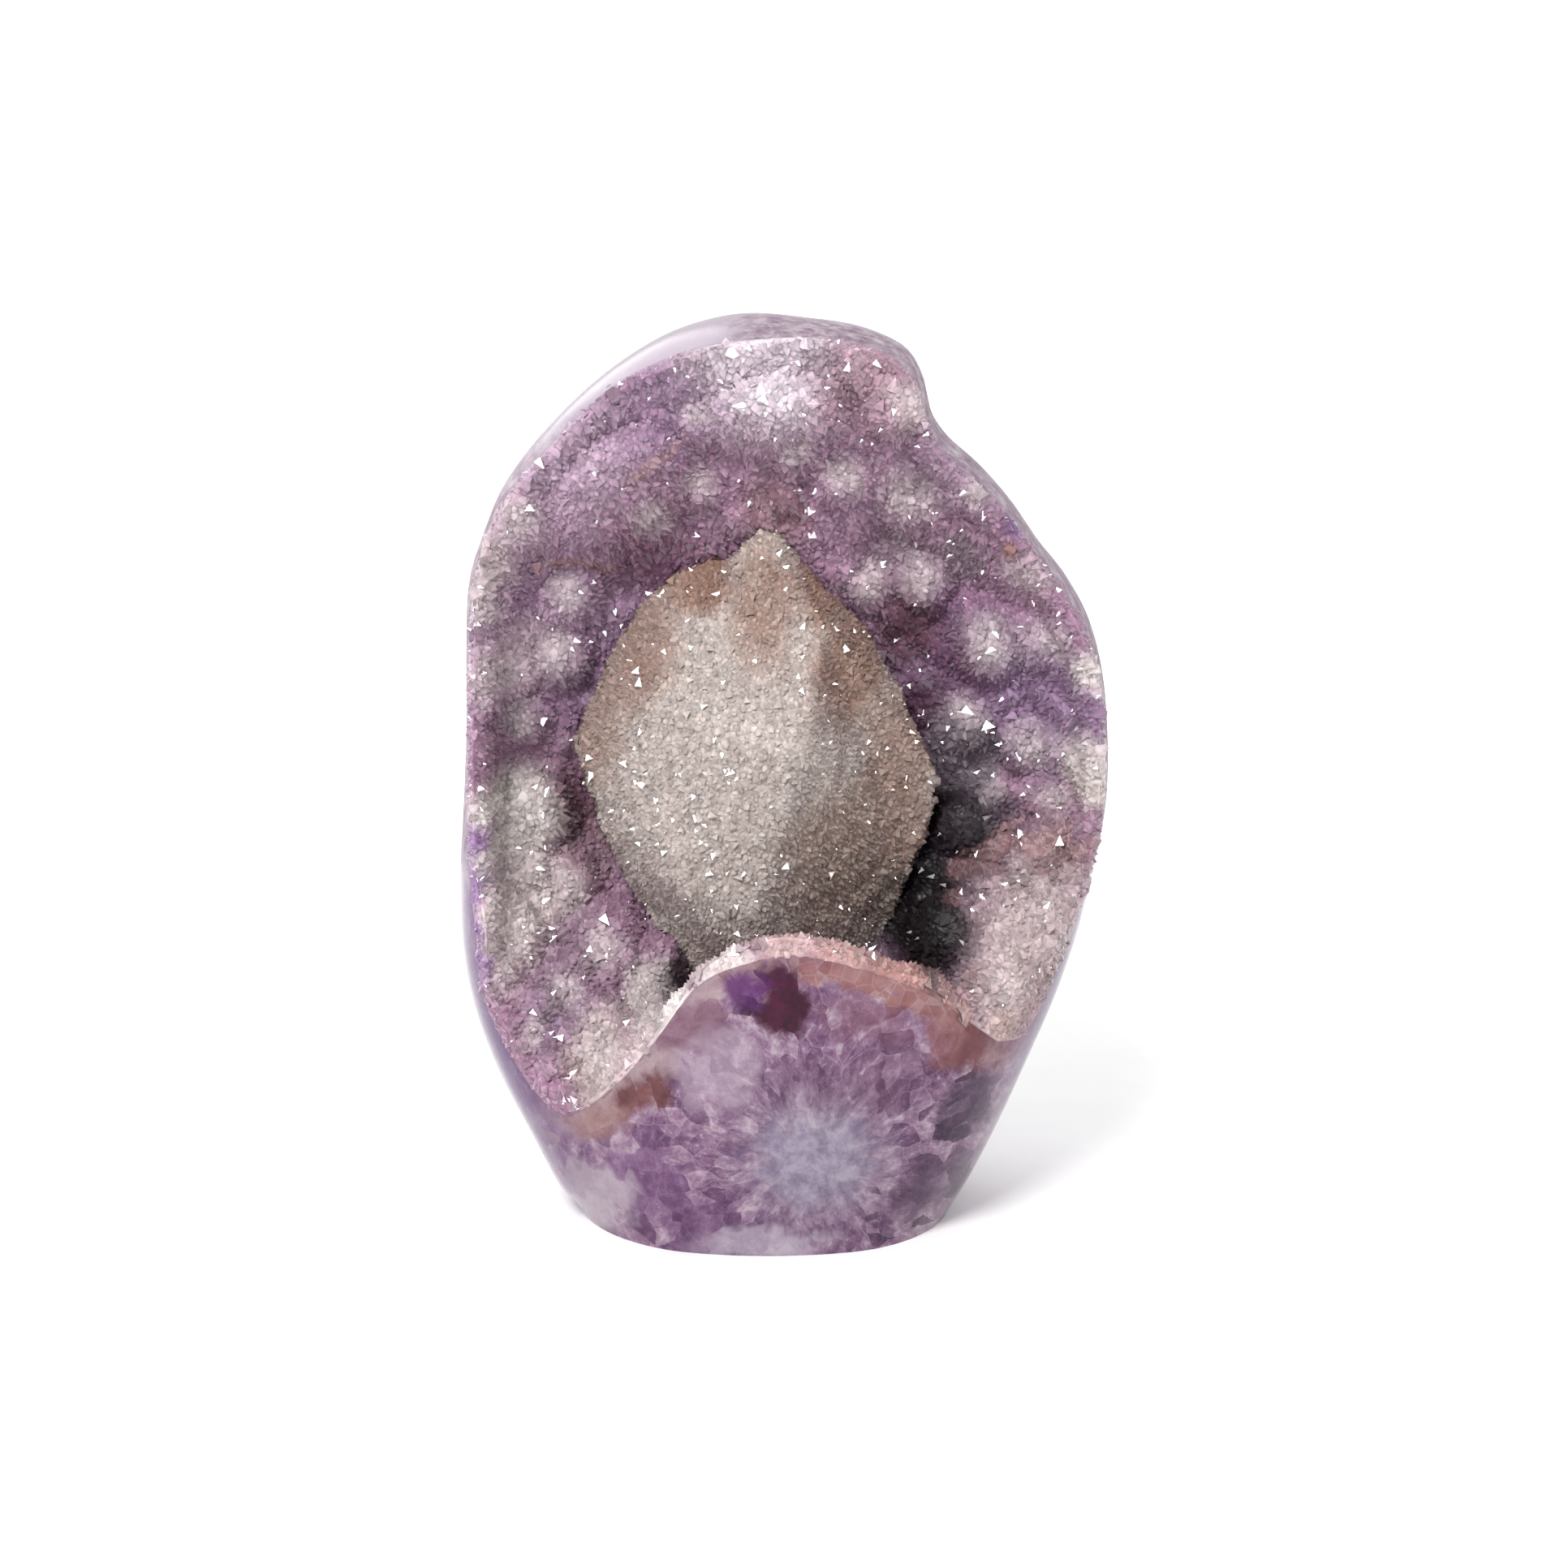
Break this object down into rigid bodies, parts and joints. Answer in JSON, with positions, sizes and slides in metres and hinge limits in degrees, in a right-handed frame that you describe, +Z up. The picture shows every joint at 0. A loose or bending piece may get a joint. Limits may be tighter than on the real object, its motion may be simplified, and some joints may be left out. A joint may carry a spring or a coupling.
{
  "type": "amethyst with calcite",
  "caption": "Free-standing polished purple amethyst on a sawn base, with a hollow front lined with quartz crystals and a large calcite crystal growing out of it.",
  "frame": {"origin": "middle of the bounding box, at the level of the sawn base", "axes": "+Z up out of the sawn base, -Y out of the hollow front, +X to the right as seen from the front"},
  "size_m": [0.0798, 0.06, 0.1093],
  "materials": {
    "polished_amethyst": "polished",
    "quartz_druse": "small sparkling crystals",
    "coated_calcite": "fine sparkling crystals"
  },
  "bodies": {
    "root": {"amethyst_body": "polished_amethyst", "quartz_druse_crust": "quartz_druse", "calcite_crystal": "coated_calcite"}
  },
  "joints": []
}
